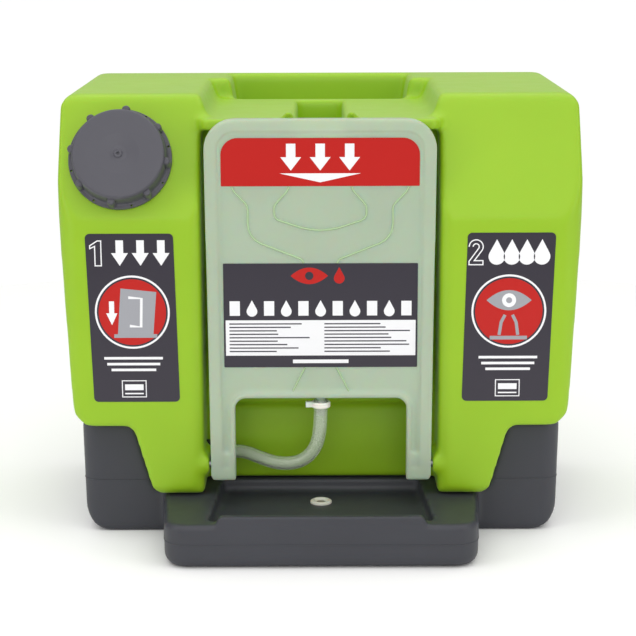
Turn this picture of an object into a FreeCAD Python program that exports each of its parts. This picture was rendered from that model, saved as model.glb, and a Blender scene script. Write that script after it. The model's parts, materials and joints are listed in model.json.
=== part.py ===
"""Portable gravity-fed eyewash station: a blow-moulded water tank that drops into a hollow waste base,
with a fold-down spray manifold between the tank's two front towers.

Built with the tower fronts on y = 0, the front towards -Y, +Z up, in millimetres. Every piece is then
moved back so that the origin is the bottom centre of the whole station's box.
"""

import FreeCAD
import Part

import math
import os

from FreeCAD import Placement, Rotation, Vector

# ---- clearances ----
SEAT_GAP = 1.0                   # tank to base
RUNNING_GAP = 0.08               # manifold on its pivot pins
SLIP_GAP = 0.3                   # pieces that touch across a joint
THREAD_GAP = 0.8                 # cap's bore to the neck, filled by the threads of both
CHANNEL_GAP_TOP = 4.0            # manifold's edge to the channel's side, at its top
CHANNEL_GAP_BOTTOM = 7.0         # and at its foot
SEAL_THICKNESS = 2.5
LABEL_THICKNESS = 0.4

# ---- driving sizes: tank ----
TANK_HALF_WIDTH = 280.0          # widest, just above the bend in the tower fronts
TANK_TOP_NARROWING = 2.0
TANK_LOW_NARROWING = 12.0
TANK_TOP = 482.0
TANK_DEPTH = 350.0
TANK_WALL = 4.0
BEND_HEIGHT = 356.0              # tower fronts are upright below this and lean back above it
TOP_SETBACK = 55.0
SIDE_FLOOR = 127.0               # underside of the tank beside its lower body
BODY_FLOOR = 49.0                # underside of the tank's lower body and towers
BODY_HALF_TOP = 204.0
BODY_HALF_BOTTOM = 182.0
BODY_BACK_STEP = 22.0            # lower body's back stands this far inside the base's
BACK_LEAN = 43.0                 # how far the back comes forward from top to side floor
CORNER_RADIUS = 26.0

# ---- driving sizes: channel between the towers, header, pocket and handle ----
CHANNEL_HALF = 127.0
CHANNEL_DEPTH = 58.0
CHANNEL_LOW_DEPTH = 66.0
CHANNEL_STEP_HEIGHT = 137.0
CHANNEL_LINTEL = 12.0            # from the channel's roof to the header's top
CHANNEL_LIP_RADIUS = 14.0
RECESS_DEPTH = 24.0              # from the tower tops down to the header's top
POCKET_DEPTH = 100.0             # handle pocket and wall, behind the header block
HEADER_FRONT = 22.0
HEADER_INSET = 3.0
SLOT_HALF = 26.0
SLOT_DEPTH = 42.0
SLOT_END_WALL = 18.0
HANDLE_THICKNESS = 32.0
TRENCH_HALF = 106.0
TRENCH_DEPTH = 72.0

# ---- driving sizes: fill neck and cap ----
NECK_X = -212.0
NECK_UP_SLANT = 64.0             # along the leaning face, from the bend to the neck's axis
NECK_RADIUS = 46.0
NECK_WALL = 5.0
NECK_HEIGHT = 18.0
CAP_HEIGHT = 27.0
CAP_WALL = 3.7
CAP_FACE_EASE = 2.0              # cap's face is this much smaller than its skirt
CAP_FLANGE_WIDTH = 4.5
CAP_LUGS = 8
CAP_LUG_RADIUS = 4.6
CAP_LUG_TURN = math.radians(37)  # where the closed cap's first lug stands
CAP_VENT_RADIUS = 1.2
CAP_TIE_HOLE = 1.2               # small holes through the flange, between the lugs

# ---- driving sizes: manifold ----
MANIFOLD_RISE = 2.0              # above the header's top
MANIFOLD_FRONT = 4.0
MANIFOLD_THICKNESS = 16.0
MANIFOLD_CORNER = 32.0
MANIFOLD_TOE = 17.0              # from the pivot down to the legs' ends
RIM_WIDTH = 13.0
WEB_SETBACK = 4.0                # web's face behind the rim's face
WEB_THICKNESS = 5.0
LEG_WIDTH = 27.0
WINDOW_RISE = 76.0               # from the pivot up to the window's top
WINDOW_RIM = 5.0
HEAD_SPACING = 127.0
HEAD_DROP = 54.0                 # from the manifold's top down to the heads' axes
HEAD_RADIUS = 33.0
PASSAGE_DEPTH = 17.0             # from the web's face to the passage's back
PASSAGE_WALL = 2.4
NIPPLE_Y = 14.0
NIPPLE_LENGTH = 22.0
SPRAY_RADIUS = 25.0
SPRAY_HEIGHT = 14.0
SPRAY_SEAT = 5.2                 # how far the cup's rim stands outside its spigot
SPRAY_SEAL = 1.5
SPRAY_HOLES = (6, 12, 18)        # water holes on each ring of a flow disc

# ---- driving sizes: pivot and outlet ----
PIVOT_HEIGHT = 82.0
PIN_RADIUS = 4.0
BOSS_RADIUS = 11.0
OUTLET_Y = 46.0
OUTLET_Z = 87.0
BARB_REACH = 30.0                # from the tower's wall to the barb's tip
OUTLET_SHANK = 8.6
HOSE_OUTER = 7.5
HOSE_INNER = 5.0

# ---- driving sizes: base and tray ----
BASE_INSET = 4.0                 # base's sides inside the tank's
BASE_TAPER = 3.0
BASE_BACK_TAPER = 14.0
BASE_FRONT = 25.0
BASE_FOOT_RADIUS = 30.0
BASE_WALL = 3.5
TRAY_REACH = 97.0
TRAY_HALF_FRONT = 164.0
TRAY_HALF_REAR = 178.0
TRAY_CORNER_RADIUS = 24.0
TRAY_FOOT_RADIUS = 13.0
TRAY_EDGE_RADIUS = 4.5
LIP_HEIGHT = 9.0
LIP_INSET = 19.0                 # lip's ends inside the channel's sides
LIP_THICKNESS = 11.0
WELL_DEPTH = 14.0
WELL_HALF_FRONT = 118.0
WELL_HALF_REAR = 110.0
WELL_FRONT = -80.0
WELL_BACK_GAP = 4.0              # basin's back in front of the channel's back wall
DRAIN_Y = 22.0
DRAIN_RADIUS = 6.5
BUNG_RADIUS = 16.0
BUNG_HEIGHT = 24.0

# ---- worked out from the sizes above ----
CENTRE_Y = (TANK_DEPTH - TRAY_REACH) / 2
LEAN = math.atan2(TOP_SETBACK, TANK_TOP - BEND_HEIGHT)
TANK_TOP_HALF_WIDTH = TANK_HALF_WIDTH - TANK_TOP_NARROWING
TANK_LOW_HALF_WIDTH = TANK_HALF_WIDTH - TANK_LOW_NARROWING
BLOCK_TOP = TANK_TOP - RECESS_DEPTH
BLOCK_BACK = TANK_DEPTH - POCKET_DEPTH
SLOT_BACK = BLOCK_BACK - SLOT_END_WALL
CHANNEL_TOP = BLOCK_TOP - CHANNEL_LINTEL
HEADER_HALF = CHANNEL_HALF - HEADER_INSET
NECK_BORE = NECK_RADIUS - NECK_WALL
CAP_SKIRT_RADIUS = NECK_RADIUS + THREAD_GAP + CAP_WALL
CAP_FACE_RADIUS = CAP_SKIRT_RADIUS - CAP_FACE_EASE
CAP_FLANGE_RADIUS = CAP_SKIRT_RADIUS + CAP_FLANGE_WIDTH
MANIFOLD_HALF_TOP = CHANNEL_HALF - CHANNEL_GAP_TOP
MANIFOLD_HALF_BOTTOM = CHANNEL_HALF - CHANNEL_GAP_BOTTOM
MANIFOLD_TOP = BLOCK_TOP + MANIFOLD_RISE
MANIFOLD_BOTTOM = PIVOT_HEIGHT - MANIFOLD_TOE
MANIFOLD_BACK = MANIFOLD_FRONT + MANIFOLD_THICKNESS
WEB_FRONT = MANIFOLD_FRONT + WEB_SETBACK
WEB_BACK = WEB_FRONT + WEB_THICKNESS
PASSAGE_BACK = WEB_FRONT + PASSAGE_DEPTH
WINDOW_HALF = MANIFOLD_HALF_BOTTOM - LEG_WIDTH
WINDOW_TOP = PIVOT_HEIGHT + WINDOW_RISE
HEAD_X = HEAD_SPACING / 2
HEAD_HEIGHT = MANIFOLD_TOP - HEAD_DROP
SPRAY_SPIGOT = SPRAY_RADIUS - SPRAY_SEAT
PIVOT_Y = MANIFOLD_FRONT + MANIFOLD_THICKNESS / 2
PIN_INNER = MANIFOLD_HALF_BOTTOM - 23
PIN_OUTER = CHANNEL_HALF + 9
BASE_HALF_TOP = TANK_LOW_HALF_WIDTH - BASE_INSET
BASE_HALF_BOTTOM = BASE_HALF_TOP - BASE_TAPER
BASE_BACK_TOP = TANK_DEPTH - BACK_LEAN
BASE_BACK_BOTTOM = BASE_BACK_TOP - BASE_BACK_TAPER
BODY_BACK = BASE_BACK_TOP - BODY_BACK_STEP
TRAY_TOP = BODY_FLOOR - SEAT_GAP
LIP_TOP = TRAY_TOP + LIP_HEIGHT
LIP_HALF = CHANNEL_HALF - LIP_INSET
WELL_FLOOR = TRAY_TOP - WELL_DEPTH
WELL_BACK = CHANNEL_LOW_DEPTH - WELL_BACK_GAP


def rounded_face(points, plane):
    """A face from (u, v, radius) corners, each corner rounded by its radius. plane is XZ, YZ or XY."""
    count = len(points)
    edges = []
    joins = []
    for index in range(count):
        u, v, radius = points[index]
        here = Vector(u, v, 0)
        before = Vector(*points[index - 1][:2], 0)
        after = Vector(*points[(index + 1) % count][:2], 0)
        inward = (before - here).normalize()
        outward = (after - here).normalize()
        if radius <= 0:
            joins.append((here, None, here))
            continue
        half = inward.getAngle(outward) / 2
        reach = radius / math.tan(half)
        bisector = (inward + outward).normalize()
        middle = here + bisector * (radius / math.sin(half) - radius)
        joins.append((here + inward * reach, middle, here + outward * reach))
    for index in range(count):
        start, middle, end = joins[index]
        if middle is not None:
            edges.append(Part.Arc(start, middle, end).toShape())
        following = joins[(index + 1) % count][0]
        if end.distanceToPoint(following) > 1e-6:
            edges.append(Part.LineSegment(end, following).toShape())
    face = Part.Face(Part.Wire(edges))
    if plane == "XZ":
        face.rotate(Vector(0, 0, 0), Vector(1, 0, 0), 90)
    if plane == "YZ":
        face.rotate(Vector(0, 0, 0), Vector(1, 0, 0), 90)
        face.rotate(Vector(0, 0, 0), Vector(0, 0, 1), 90)
    return face


def mirrored(half):
    """Right-hand corners, listed from the bottom up, closed by their mirror image in x = 0."""
    return half + [(-u, v, radius) for u, v, radius in reversed(half)]


def grown(face, distance):
    """The face with its outline moved out, or in if distance is negative."""
    if abs(distance) < 1e-9:
        return face
    return face.makeOffset2D(distance)


def box(x0, x1, y0, y1, z0, z1):
    return Part.makeBox(x1 - x0, y1 - y0, z1 - z0, Vector(x0, y0, z0))


def rod(radius, start, end):
    """A plain round bar between two points."""
    axis = end - start
    return Part.makeCylinder(radius, axis.Length, start, axis)


def tube(outer, inner, start, end):
    return rod(outer, start, end).cut(rod(inner, start, end))


def one_solid(shape):
    """The shape with split faces joined."""
    return shape.removeSplitter()


# ---- tank ----

def tank_front_outline(inset):
    """Half-front corners of the tank: wide body over a narrower lower body."""
    half = [
        (BODY_HALF_BOTTOM, BODY_FLOOR, 14),
        (BODY_HALF_TOP, SIDE_FLOOR, 9),
        (TANK_LOW_HALF_WIDTH, SIDE_FLOOR, 24),
        (TANK_HALF_WIDTH, BEND_HEIGHT + 12, 120),
        (TANK_TOP_HALF_WIDTH, TANK_TOP, 16),
    ]
    return grown(rounded_face(mirrored(half), "XZ"), -inset)


def tank_side_outline(inset):
    corners = [
        (0, BODY_FLOOR, 12),
        (0, BEND_HEIGHT, 20),
        (TOP_SETBACK, TANK_TOP, 12),
        (TANK_DEPTH - 12, TANK_TOP, 8),
        (TANK_DEPTH, TANK_TOP - 18, 8),
        (TANK_DEPTH - BACK_LEAN, SIDE_FLOOR, 10),
        (BODY_BACK, SIDE_FLOOR, 6),
        (BODY_BACK - 2, BODY_FLOOR, 12),
    ]
    return grown(rounded_face(corners, "YZ"), -inset)


def tank_plan_outline(inset):
    corners = [
        (-TANK_HALF_WIDTH, 0, CORNER_RADIUS),
        (TANK_HALF_WIDTH, 0, CORNER_RADIUS),
        (TANK_HALF_WIDTH - 4, TANK_DEPTH, CORNER_RADIUS),
        (4 - TANK_HALF_WIDTH, TANK_DEPTH, CORNER_RADIUS),
    ]
    return grown(rounded_face(corners, "XY"), -inset)


def channel_tool(grow):
    """What the channel between the towers takes away, larger by grow for the cavity behind its wall."""
    lip = CHANNEL_LIP_RADIUS
    half = CHANNEL_HALF + grow
    mouth = [
        Vector(-half - lip, -1, 0),
        Vector(-half - lip, 0, 0),
        Vector(-half, lip, 0),
    ]
    quarter = lip * (1 - math.sqrt(0.5))

    def slab(depth, bottom, top):
        right = [Vector(-point.x, point.y, 0) for point in mouth]
        back_left, back_right = Vector(-half, depth, 0), Vector(half, depth, 0)
        edges = [
            Part.LineSegment(mouth[0], mouth[1]).toShape(),
            Part.Arc(mouth[1], Vector(-half - quarter, quarter, 0), mouth[2]).toShape(),
            Part.LineSegment(mouth[2], back_left).toShape(),
            Part.LineSegment(back_left, back_right).toShape(),
            Part.LineSegment(back_right, right[2]).toShape(),
            Part.Arc(right[2], Vector(half + quarter, quarter, 0), right[1]).toShape(),
            Part.LineSegment(right[1], right[0]).toShape(),
            Part.LineSegment(right[0], mouth[0]).toShape(),
        ]
        face = Part.Face(Part.Wire(edges))
        face.translate(Vector(0, 0, bottom))
        return face.extrude(Vector(0, 0, top - bottom))

    low = slab(CHANNEL_LOW_DEPTH + grow, BODY_FLOOR - 2, CHANNEL_STEP_HEIGHT + grow)
    high = slab(CHANNEL_DEPTH + grow, BODY_FLOOR - 2, CHANNEL_TOP + grow)
    return low.fuse(high)


def block_gap_tool(grow):
    """The step down between the tower tops, over the block behind the channel."""
    half = [
        (HEADER_HALF - 4 + grow, BLOCK_TOP - grow, 8),
        (HEADER_HALF + 16 + grow, TANK_TOP + 30, 0),
    ]
    face = rounded_face(mirrored(half), "XZ")
    face.translate(Vector(0, -1, 0))
    return face.extrude(Vector(0, BLOCK_BACK + 1 + grow, 0))


def trench_tool(grow):
    """The pocket in front of the rear wall that makes it a carry handle."""
    back = TANK_DEPTH - HANDLE_THICKNESS + grow
    half = [
        (TRENCH_HALF - 12 + grow, TANK_TOP - TRENCH_DEPTH - grow, 14),
        (TRENCH_HALF + grow, TANK_TOP + 1, 0),
    ]
    face = rounded_face(mirrored(half), "XZ")
    face.translate(Vector(0, BLOCK_BACK - grow, 0))
    return face.extrude(Vector(0, back - BLOCK_BACK + grow, 0))


def slot_tool(grow):
    """The slot that fingers reach through to pull the manifold's top edge."""
    floor = BLOCK_TOP - SLOT_DEPTH - grow
    return box(-SLOT_HALF - grow, SLOT_HALF + grow, -1, SLOT_BACK + grow, floor, TANK_TOP + 1)


def header():
    """The ledge across the channel's head that the manifold's top edge closes against."""
    corners = [
        (-HEADER_HALF, HEADER_FRONT, 5),
        (HEADER_HALF, HEADER_FRONT, 5),
        (HEADER_HALF + 18, CHANNEL_DEPTH + 12, 0),
        (-HEADER_HALF - 18, CHANNEL_DEPTH + 12, 0),
    ]
    face = rounded_face(corners, "XY")
    face.translate(Vector(0, 0, CHANNEL_TOP))
    return face.extrude(Vector(0, 0, BLOCK_TOP - CHANNEL_TOP))


def side_panel(side, grow):
    """Shallow moulded panel in each side wall."""
    depth = 3.0
    corners = [
        (70, 180, 22),
        (TANK_DEPTH - 78, 180, 22),
        (TANK_DEPTH - 56, 400, 22),
        (98, 400, 22),
    ]
    face = grown(rounded_face(corners, "YZ"), grow)
    face.translate(Vector(TANK_HALF_WIDTH - 5 - depth - grow, 0, 0))
    panel = face.extrude(Vector(40, 0, 0))
    if side < 0:
        panel = panel.mirror(Vector(0, 0, 0), Vector(1, 0, 0))
    return panel


def tank_body(inset):
    """The tank's outside form, or with an inset the cavity inside its wall."""
    far = 2 * TANK_HALF_WIDTH
    front = tank_front_outline(inset)
    front.translate(Vector(0, -far, 0))
    side = tank_side_outline(inset)
    side.translate(Vector(-far, 0, 0))
    plan = tank_plan_outline(inset)
    plan.translate(Vector(0, 0, -far))
    body = front.extrude(Vector(0, 2 * far, 0))
    body = body.common(side.extrude(Vector(2 * far, 0, 0)))
    body = body.common(plan.extrude(Vector(0, 0, 2 * far)))
    for tool in (channel_tool(inset), block_gap_tool(inset), trench_tool(inset), slot_tool(inset)):
        body = body.cut(tool)
    for direction in (-1, 1):
        body = body.cut(side_panel(direction, inset))
    return body


def neck_placement():
    """Turns z-up neck and cap shapes onto the leaning face of the left tower."""
    y = NECK_UP_SLANT * math.sin(LEAN)
    z = BEND_HEIGHT + NECK_UP_SLANT * math.cos(LEAN)
    return Placement(Vector(NECK_X, y, z), Rotation(Vector(1, 0, 0), 90 - math.degrees(LEAN)))


def pivot_boss(direction):
    """Solid boss through the tower wall, closed at its far end so that the pin's bore cannot leak."""
    tip = Vector(direction * (MANIFOLD_HALF_BOTTOM + 1.5), PIVOT_Y, PIVOT_HEIGHT)
    end = Vector(direction * (PIN_OUTER + TANK_WALL), PIVOT_Y, PIVOT_HEIGHT)
    return rod(BOSS_RADIUS, tip, end)


def stop_ribs():
    """Ribs on the tower walls that the manifold's heels meet when it lies level."""
    heel_top = PIVOT_HEIGHT + MANIFOLD_BACK - PIVOT_Y + SLIP_GAP
    shapes = []
    for direction in (-1, 1):
        inner = MANIFOLD_HALF_BOTTOM - 8
        x0, x1 = sorted((direction * inner, direction * (CHANNEL_HALF + 1)))
        shapes.append(box(x0, x1, MANIFOLD_BACK + 3, MANIFOLD_BACK + 10, heel_top, heel_top + 9))
    return shapes


def detent_lugs():
    """Two lugs beside the slot that snap over the manifold's top edge."""
    shapes = []
    for direction in (-1, 1):
        x0, x1 = sorted((direction * (SLOT_HALF + 3), direction * (SLOT_HALF + 11)))
        post = box(x0, x1, HEADER_FRONT + 0.5, HEADER_FRONT + 12, BLOCK_TOP - 3, MANIFOLD_TOP + 7)
        hook = box(x0, x1, HEADER_FRONT - 6, HEADER_FRONT + 1, MANIFOLD_TOP + 1, MANIFOLD_TOP + 7)
        shapes.append(post.fuse(hook))
    return shapes


def tank():
    outside = tank_body(0)
    neck_outer = Part.makeCylinder(NECK_RADIUS, NECK_HEIGHT + 12, Vector(0, 0, -12))
    neck_outer.Placement = neck_placement()
    outside = outside.fuse(neck_outer)
    outside = outside.fuse([header()] + stop_ribs() + detent_lugs())
    outside = outside.cut(slot_tool(0))
    hollow = tank_body(TANK_WALL)
    shell = outside.cut(hollow)
    bore = Part.makeCylinder(NECK_BORE, NECK_HEIGHT + 40, Vector(0, 0, -20))
    bore.Placement = neck_placement()
    shell = shell.cut(bore)
    for direction in (-1, 1):
        shell = shell.fuse(pivot_boss(direction)).cut(pivot_pin(direction))
    hole = rod(OUTLET_SHANK + 0.2, outlet_point(TANK_WALL), outlet_point(-TANK_WALL - 2))
    return one_solid(shell.cut(hole))


def pivot_pin(direction):
    start = Vector(direction * PIN_INNER, PIVOT_Y, PIVOT_HEIGHT)
    return rod(PIN_RADIUS, start, Vector(direction * PIN_OUTER, PIVOT_Y, PIVOT_HEIGHT))


# ---- fill cap ----

def cap_seal():
    """Flat gasket that rests on the neck's rim and rides in the cap."""
    bottom = NECK_HEIGHT + SLIP_GAP
    seal = tube(NECK_RADIUS - 0.5, 4.0, Vector(0, 0, bottom), Vector(0, 0, bottom + SEAL_THICKNESS))
    seal.Placement = neck_placement()
    return seal


def fill_cap():
    """Screw cap with a bottom flange, grip lugs round its skirt and a small vent at its centre."""
    foot = 1.5
    inside_top = NECK_HEIGHT + SEAL_THICKNESS + 2 * SLIP_GAP
    cap = rod(CAP_SKIRT_RADIUS, Vector(0, 0, foot), Vector(0, 0, CAP_HEIGHT - 5))
    cap = cap.fuse(rod(CAP_FLANGE_RADIUS, Vector(0, 0, foot), Vector(0, 0, foot + 5)))
    crown = Part.makeCone(CAP_SKIRT_RADIUS, CAP_FACE_RADIUS, 5, Vector(0, 0, CAP_HEIGHT - 5))
    cap = cap.fuse(crown)
    for index in range(CAP_LUGS):
        turn = CAP_LUG_TURN + 2 * math.pi * index / CAP_LUGS
        centre = Vector(CAP_SKIRT_RADIUS * math.cos(turn), CAP_SKIRT_RADIUS * math.sin(turn), foot)
        cap = cap.fuse(rod(CAP_LUG_RADIUS, centre, centre + Vector(0, 0, CAP_HEIGHT - foot - 4)))
    for index in range(CAP_LUGS):
        turn = CAP_LUG_TURN + 2 * math.pi * (index + 0.5) / CAP_LUGS
        reach = (CAP_SKIRT_RADIUS + CAP_FLANGE_RADIUS) / 2
        centre = Vector(reach * math.cos(turn), reach * math.sin(turn), 0)
        cap = cap.cut(rod(CAP_TIE_HOLE, centre, centre + Vector(0, 0, foot + 6)))
    cap = cap.fuse(tube(CAP_VENT_RADIUS + 3, CAP_VENT_RADIUS + 1.2, Vector(0, 0, CAP_HEIGHT - 1),
                        Vector(0, 0, CAP_HEIGHT + 0.6)))
    cap = cap.cut(rod(NECK_RADIUS + THREAD_GAP, Vector(0, 0, 0), Vector(0, 0, inside_top)))
    cap = cap.cut(rod(CAP_VENT_RADIUS, Vector(0, 0, 0), Vector(0, 0, CAP_HEIGHT + 2)))
    cap.Placement = neck_placement()
    return one_solid(cap)


# ---- outlet and hose ----

def outlet_point(reach):
    """A point on the outlet's axis, measured from the tower's wall into the channel."""
    return Vector(reach - CHANNEL_HALF, OUTLET_Y, OUTLET_Z)


def hexagon(across_flats, start, end):
    """Six-sided bar along X between two points."""
    radius = across_flats / math.sqrt(3)
    turns = [index * math.pi / 3 for index in range(7)]
    corners = [start + Vector(0, radius * math.cos(turn), radius * math.sin(turn)) for turn in turns]
    return Part.Face(Part.makePolygon(corners)).extrude(end - start)


def outlet_seal():
    return tube(12.5, OUTLET_SHANK + 0.1, outlet_point(0), outlet_point(2.5))


def outlet_fitting():
    """Bulkhead fitting: a shank through the wall, a hexagon head in the channel and a barb for the hose."""
    head = hexagon(22, outlet_point(2.5), outlet_point(9.5))
    shank = rod(OUTLET_SHANK, outlet_point(-TANK_WALL - 9), outlet_point(3))
    barb = rod(HOSE_INNER, outlet_point(9), outlet_point(BARB_REACH))
    fitting = head.fuse([shank, barb])
    return one_solid(fitting.cut(rod(3.0, outlet_point(-40), outlet_point(40))))


def outlet_nut():
    start, end = outlet_point(-TANK_WALL), outlet_point(-TANK_WALL - 6)
    return hexagon(23, start, end).cut(rod(OUTLET_SHANK, outlet_point(0), outlet_point(-40)))


def hose_route():
    """Corners of the hose's centre line, from the top of the manifold's nipple round to the outlet."""
    nipple_end = WINDOW_TOP - NIPPLE_LENGTH
    return [
        Vector(0, NIPPLE_Y, WINDOW_TOP - 4),
        Vector(0, NIPPLE_Y, nipple_end - 14),
        Vector(-6, NIPPLE_Y + 2, OUTLET_Z + 10),
        Vector(-22, NIPPLE_Y + 8, OUTLET_Z - 6.5),
        Vector(-46, NIPPLE_Y + 16, OUTLET_Z - 11),
        Vector(-68, NIPPLE_Y + 24.5, OUTLET_Z - 6),
        outlet_point(BARB_REACH + 10),
        outlet_point(12),
    ]


def bent_path(corners):
    """Straight runs joined by arcs as large as the runs allow."""
    edges = []
    radii = []
    last = corners[0]
    for before, here, after in zip(corners, corners[1:], corners[2:]):
        inward = (before - here).normalize()
        outward = (after - here).normalize()
        half = inward.getAngle(outward) / 2
        reach = 0.45 * min(before.distanceToPoint(here), here.distanceToPoint(after))
        radius = reach * math.tan(half)
        middle = here + (inward + outward).normalize() * (radius / math.sin(half) - radius)
        edges.append(Part.LineSegment(last, here + inward * reach).toShape())
        edges.append(Part.Arc(here + inward * reach, middle, here + outward * reach).toShape())
        last = here + outward * reach
        radii.append(round(radius, 1))
    edges.append(Part.LineSegment(last, corners[-1]).toShape())
    return Part.Wire(edges), radii


def hose():
    path, radii = bent_path(hose_route())
    start = hose_route()[0]

    def swept(radius):
        ring = Part.Wire(Part.makeCircle(radius, start, Vector(0, 0, -1)))
        return path.makePipeShell([ring], True, False)

    tube_solid = swept(HOSE_OUTER).cut(swept(HOSE_INNER))
    section = math.pi * (HOSE_OUTER ** 2 - HOSE_INNER ** 2)
    print("hose length", round(path.Length, 1), "bend radii", radii)
    print("hose volume over section times length", round(tube_solid.Volume / (section * path.Length), 4))
    return tube_solid


def hose_clamp_outlet():
    start, end = outlet_point(14), outlet_point(20)
    ring = tube(HOSE_OUTER + 2.4, HOSE_OUTER, start, end)
    tab_foot = OUTLET_Z + HOSE_OUTER + 1
    tab = box(start.x, end.x, OUTLET_Y - 3, OUTLET_Y + 3, tab_foot, tab_foot + 6)
    return one_solid(ring.fuse(tab))


def hose_clamp_manifold():
    start = Vector(0, NIPPLE_Y, WINDOW_TOP - 12)
    end = start + Vector(0, 0, 6)
    ring = tube(HOSE_OUTER + 3, HOSE_OUTER + SLIP_GAP, start, end)
    tab = box(-HOSE_OUTER - 9, -HOSE_OUTER - 1, NIPPLE_Y - 3, NIPPLE_Y + 3, start.z + 0.5, end.z - 0.5)
    return one_solid(ring.fuse(tab))




# ---- manifold ----

def slab(face, y0, y1):
    """An XZ face turned into a plate from y0 to y1."""
    face = face.copy()
    face.translate(Vector(0, y0, 0))
    return face.extrude(Vector(0, y1 - y0, 0))


def manifold_outline():
    half = [
        (MANIFOLD_HALF_BOTTOM, MANIFOLD_BOTTOM, 5),
        (MANIFOLD_HALF_TOP, MANIFOLD_TOP, MANIFOLD_CORNER),
    ]
    return rounded_face(mirrored(half), "XZ")


def window_outline():
    half = [
        (WINDOW_HALF, MANIFOLD_BOTTOM - 40, 0),
        (WINDOW_HALF, WINDOW_TOP, 12),
    ]
    return rounded_face(mirrored(half), "XZ")


def passage_faces():
    """Outlines of the water passage: a stem flared at its foot, a yoke, and a round chamber at each head."""
    stem_half = 17.0
    arm_outer = HEAD_X + 13.5
    arm_inner = HEAD_X - 14.5
    stem = [
        (30, WINDOW_TOP, 0),
        (30, WINDOW_TOP + 7, 6),
        (stem_half, WINDOW_TOP + 34, 14),
        (stem_half, HEAD_HEIGHT - 80, 0),
    ]
    yoke = [
        (stem_half, HEAD_HEIGHT - 110, 0),
        (stem_half, HEAD_HEIGHT - 96, 12),
        (arm_outer, HEAD_HEIGHT - 74, 26),
        (arm_outer, HEAD_HEIGHT, 0),
        (arm_inner, HEAD_HEIGHT, 0),
        (arm_inner, HEAD_HEIGHT - 52, 10),
    ]
    saddle = [(0, HEAD_HEIGHT - 67, 90)]
    faces = [
        rounded_face(mirrored(stem), "XZ"),
        rounded_face(yoke + saddle + [(-u, v, radius) for u, v, radius in reversed(yoke)], "XZ"),
    ]
    for direction in (-1, 1):
        ring = Part.makeCircle(HEAD_RADIUS, Vector(direction * HEAD_X, 0, HEAD_HEIGHT), Vector(0, -1, 0))
        faces.append(Part.Face(Part.Wire(ring)))
    return faces


def manifold():
    """Fold-down frame: a rimmed plate with the water passage moulded in its back and a nipple below."""
    outline = slab(manifold_outline(), MANIFOLD_FRONT, MANIFOLD_BACK)
    web_recess = slab(grown(manifold_outline(), -RIM_WIDTH), MANIFOLD_FRONT - 1, WEB_FRONT)
    back_recess = slab(grown(manifold_outline(), -RIM_WIDTH), WEB_BACK, MANIFOLD_BACK + 1)
    sill = slab(grown(window_outline(), WINDOW_RIM), MANIFOLD_FRONT, MANIFOLD_BACK).common(outline)
    body = outline.cut(web_recess).cut(back_recess).fuse(sill)
    body = body.cut(slab(window_outline(), MANIFOLD_FRONT - 1, MANIFOLD_BACK + 1))
    for direction in (-1, 1):
        x0, x1 = sorted((direction * WINDOW_HALF, direction * (MANIFOLD_HALF_BOTTOM - 2)))
        foot_low, foot_high = MANIFOLD_BOTTOM + 5, PIVOT_HEIGHT + 14
        body = body.fuse(box(x0, x1, MANIFOLD_FRONT + 1, MANIFOLD_BACK, foot_low, foot_high))
    for face in passage_faces():
        body = body.fuse(slab(face, WEB_FRONT, PASSAGE_BACK))
    foot = WINDOW_TOP - NIPPLE_LENGTH
    nipple = rod(HOSE_INNER - SLIP_GAP, Vector(0, NIPPLE_Y, foot), Vector(0, NIPPLE_Y, WINDOW_TOP + 1))
    body = body.fuse(nipple)
    for face in passage_faces():
        inside = grown(face, -PASSAGE_WALL)
        body = body.cut(slab(inside, WEB_FRONT + PASSAGE_WALL, PASSAGE_BACK - PASSAGE_WALL))
    body = body.cut(rod(3.0, Vector(0, NIPPLE_Y, foot - 1), Vector(0, NIPPLE_Y, WINDOW_TOP + 12)))
    for direction in (-1, 1):
        body = body.cut(rod(SPRAY_SPIGOT + 0.2, spray_point(direction, -5), spray_point(direction, 5)))
        start = Vector(direction * (PIN_INNER - SLIP_GAP), PIVOT_Y, PIVOT_HEIGHT)
        end = Vector(direction * (MANIFOLD_HALF_BOTTOM + 5), PIVOT_Y, PIVOT_HEIGHT)
        body = body.cut(rod(PIN_RADIUS + RUNNING_GAP, start, end))
    return one_solid(body)


# ---- spray heads ----

def spray_point(direction, reach):
    """A point on a spray head's axis, measured back from the passage's rear wall."""
    return Vector(direction * HEAD_X, PASSAGE_BACK + reach, HEAD_HEIGHT)


def spray_seal(direction):
    start, end = spray_point(direction, 0), spray_point(direction, SPRAY_SEAL)
    return tube(SPRAY_RADIUS - 1, SPRAY_SPIGOT + 0.1, start, end)


def spray_head(direction):
    """Cup with a spigot into the passage and a seat for the flow disc."""
    rim = spray_point(direction, SPRAY_HEIGHT)
    cup = rod(SPRAY_RADIUS, spray_point(direction, SPRAY_SEAL), rim)
    spigot = rod(SPRAY_SPIGOT, spray_point(direction, -PASSAGE_WALL - 2), spray_point(direction, SPRAY_SEAL))
    head = cup.fuse(spigot)
    head = head.cut(rod(SPRAY_SPIGOT - 2, spray_point(direction, -PASSAGE_WALL - 3), rim))
    return one_solid(head.cut(rod(SPRAY_RADIUS - 3, spray_point(direction, SPRAY_HEIGHT - 5), rim)))


def flow_disc(direction):
    """Perforated disc that breaks the water into a soft, even column."""
    bottom = spray_point(direction, SPRAY_HEIGHT - 5)
    top = spray_point(direction, SPRAY_HEIGHT - 2)
    disc = rod(SPRAY_RADIUS - 3, bottom, top)
    holes = []
    for ring, count in enumerate(SPRAY_HOLES):
        for index in range(count):
            turn = 2 * math.pi * index / count
            reach = 5.0 * (ring + 1)
            offset = Vector(reach * math.cos(turn), 0, reach * math.sin(turn))
            holes.append(rod(1.0, bottom + offset - Vector(0, 1, 0), top + offset + Vector(0, 1, 0)))
    return disc.cut(holes)


# ---- labels ----

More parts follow.
